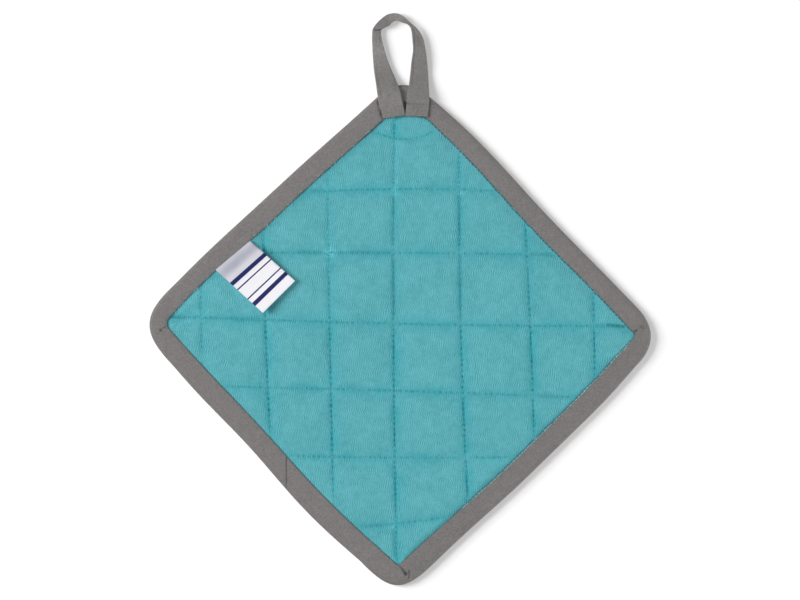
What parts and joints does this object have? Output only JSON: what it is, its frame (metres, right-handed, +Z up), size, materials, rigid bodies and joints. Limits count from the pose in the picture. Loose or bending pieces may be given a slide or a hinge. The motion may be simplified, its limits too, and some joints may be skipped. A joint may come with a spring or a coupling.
{
  "type": "pot holder",
  "caption": "Square quilted cloth pot holder with a bound edge, a corner hanging loop and a small side label.",
  "frame": {"origin": "on the surface that the pot holder lies on, under the middle of its whole outline, loop included", "axes": "+Z up from that surface, +Y towards the hanging loop, +X to the right as seen from above"},
  "size_m": [0.2656, 0.303, 0.0091],
  "materials": {
    "teal_cotton": "matte twill",
    "grey_binding": "matte plain weave",
    "grey_tape": "matte plain weave",
    "label_satin": "satin"
  },
  "bodies": {
    "root": {"quilted_panel": "teal_cotton", "edge_binding": "grey_binding", "hanging_loop": "grey_tape", "side_label": "label_satin"}
  },
  "joints": []
}
